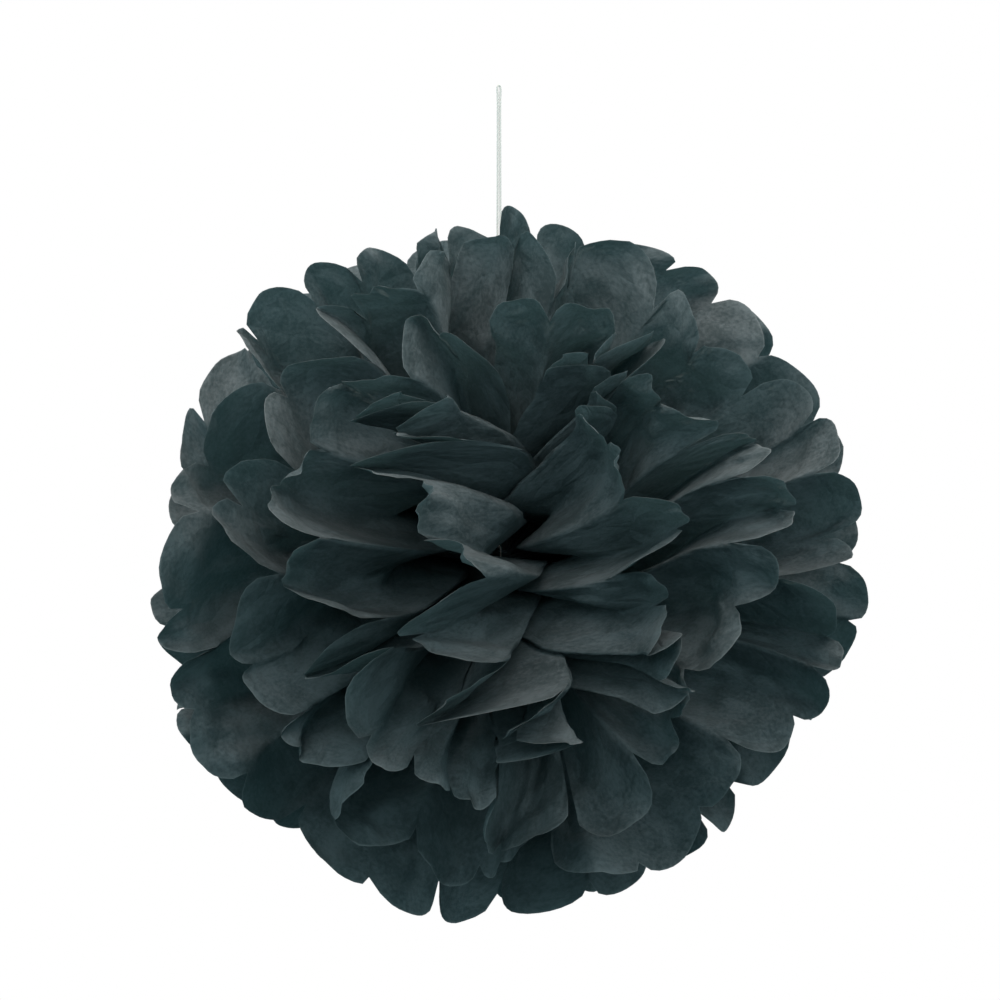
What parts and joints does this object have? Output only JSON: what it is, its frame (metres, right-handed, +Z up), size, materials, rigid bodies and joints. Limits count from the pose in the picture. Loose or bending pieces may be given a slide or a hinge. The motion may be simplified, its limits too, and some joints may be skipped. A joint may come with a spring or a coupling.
{
  "type": "tissue paper pom pom",
  "caption": "Black tissue paper pom pom: pleated sheets tied at the waist and pulled open into a ball of rounded petals, hung on a doubled white thread.",
  "frame": {"origin": "the top of the hanging loop, where a hook or nail holds it", "axes": "+Z up along the hanging thread; the sheets are stacked along Y, with the first sheet facing -Y; the fans open to the left and right along X"},
  "size_m": [0.3971, 0.3926, 0.4735],
  "materials": {
    "black_tissue": "matte black tissue paper with a faint fibre pattern, softly creased",
    "tie_thread": "matte white twisted thread",
    "white_thread": "matte white twisted thread"
  },
  "bodies": {
    "root": {"tissue_sheet_01": "black_tissue", "tissue_sheet_02": "black_tissue", "tissue_sheet_03": "black_tissue", "tissue_sheet_04": "black_tissue", "tissue_sheet_05": "black_tissue", "tissue_sheet_06": "black_tissue", "tissue_sheet_07": "black_tissue", "tissue_sheet_08": "black_tissue", "waist_tie": "tie_thread", "hanging_thread": "white_thread"}
  },
  "joints": []
}
